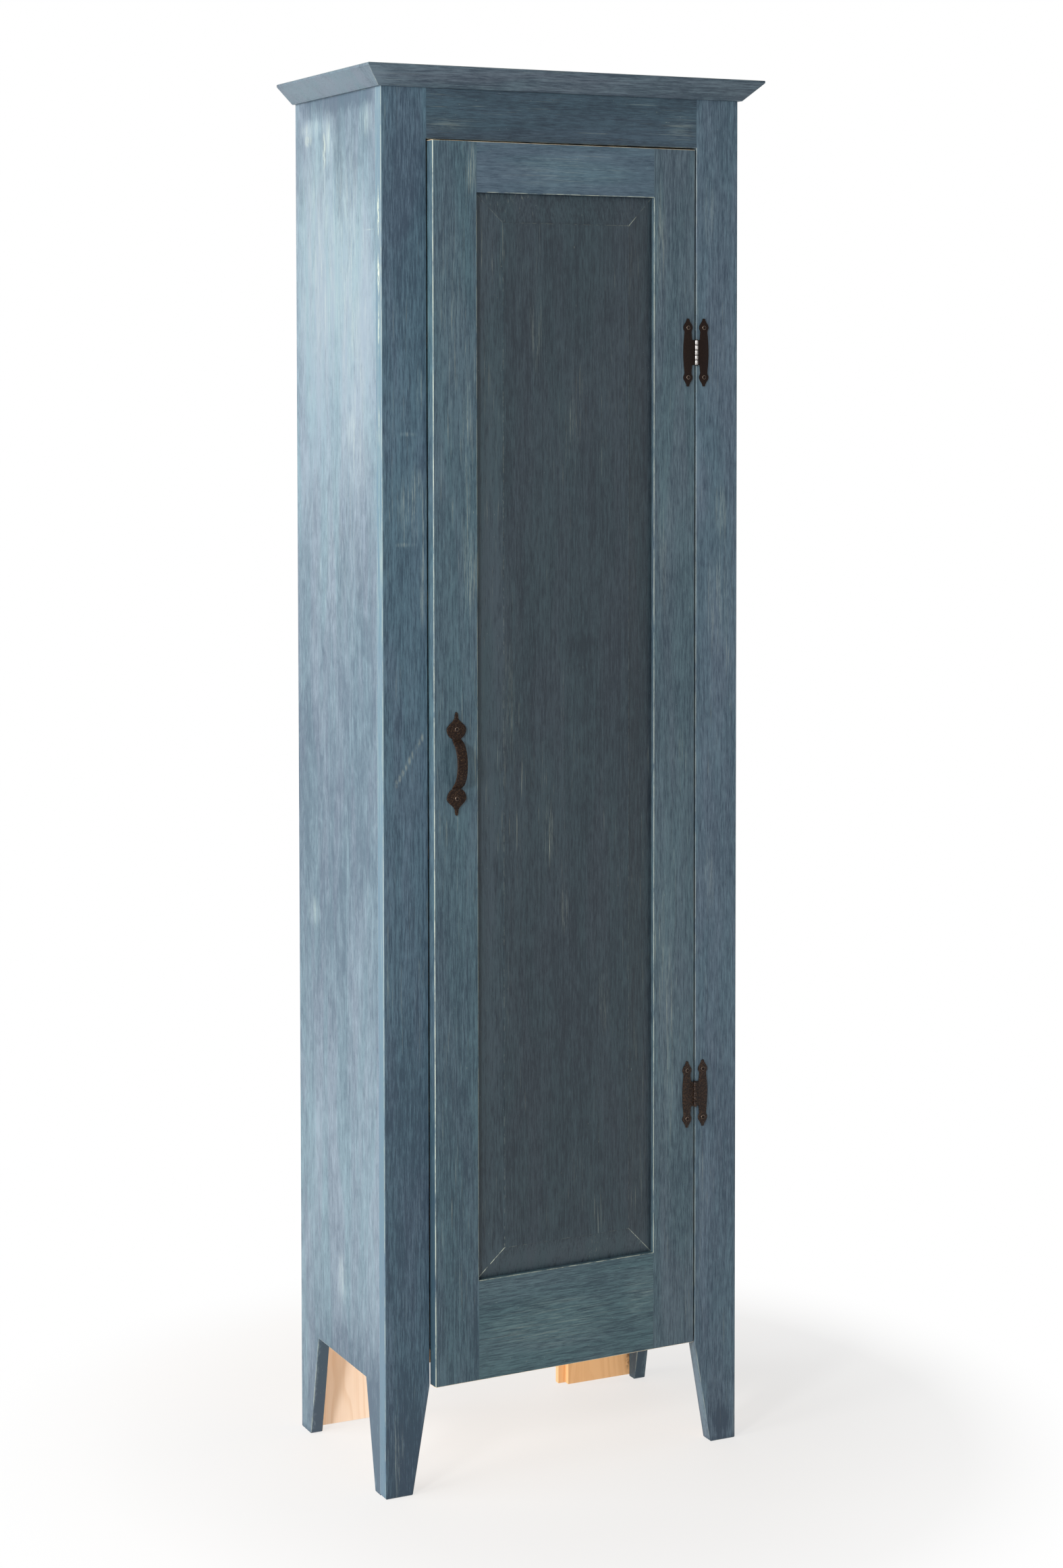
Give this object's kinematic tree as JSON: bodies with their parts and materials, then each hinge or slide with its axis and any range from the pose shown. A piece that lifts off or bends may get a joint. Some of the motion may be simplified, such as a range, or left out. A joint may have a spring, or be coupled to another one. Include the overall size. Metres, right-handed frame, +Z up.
{
  "type": "chimney cabinet",
  "caption": "Tall, narrow free-standing cupboard on tapered feet, with shelves behind a full-height raised-panel door on iron H hinges and a bevelled top board.",
  "frame": {"origin": "on the floor, under the middle of the box round the whole part at rest, with the door a little ajar", "axes": "+Z up, -Y out of the door's side (front), +X to the right as seen from the front"},
  "size_m": [0.5666, 0.3298, 1.829],
  "materials": {
    "painted_wood": "slate-blue stain, brushed thin over the grain, satin, pale at worn arrises",
    "bare_pine": "bare planed pine",
    "hammered_iron": "hammered, dark bronze-black, satin",
    "bright_steel": "plain bright steel",
    "brown_plastic": "moulded, fine texture",
    "ferrite": "sintered, matt"
  },
  "bodies": {
    "case": {"left_side": "painted_wood", "right_side": "painted_wood", "left_face_stile": "painted_wood", "right_face_stile": "painted_wood", "face_top_rail": "painted_wood", "top_board": "painted_wood", "left_top_cleat": "bare_pine", "right_top_cleat": "bare_pine", "rear_top_cleat": "bare_pine", "cleat_screws": "bright_steel", "top_screws": "bright_steel", "bottom_shelf": "bare_pine", "shelf_1": "bare_pine", "shelf_2": "bare_pine", "shelf_3": "bare_pine", "shelf_4": "bare_pine", "back_board_1": "bare_pine", "back_board_2": "bare_pine", "back_board_3": "bare_pine", "back_board_4": "bare_pine", "back_nails": "bright_steel", "upper_hinge_frame_leaf": "hammered_iron", "lower_hinge_frame_leaf": "hammered_iron", "upper_hinge_pin": "bright_steel", "lower_hinge_pin": "bright_steel", "frame_hinge_screws": "hammered_iron", "catch_housing": "brown_plastic", "catch_magnet": "ferrite", "catch_plates": "bright_steel", "catch_screws": "bright_steel"},
    "door": {"door_pull_stile": "painted_wood", "door_hinge_stile": "painted_wood", "door_top_rail": "painted_wood", "door_bottom_rail": "painted_wood", "door_panel": "painted_wood", "upper_hinge_door_leaf": "hammered_iron", "lower_hinge_door_leaf": "hammered_iron", "door_hinge_screws": "hammered_iron", "pull_handle": "hammered_iron", "pull_screws": "hammered_iron", "strike_plate": "bright_steel", "strike_screw": "bright_steel"}
  },
  "joints": [
    {"name": "door_swing", "type": "hinge", "parent": "case", "child": "door", "pos_m": [0.19345, -0.13364, 0.4785], "axis": [0, 0, 1], "range_deg": [-2.1, 162.9]}
  ]
}
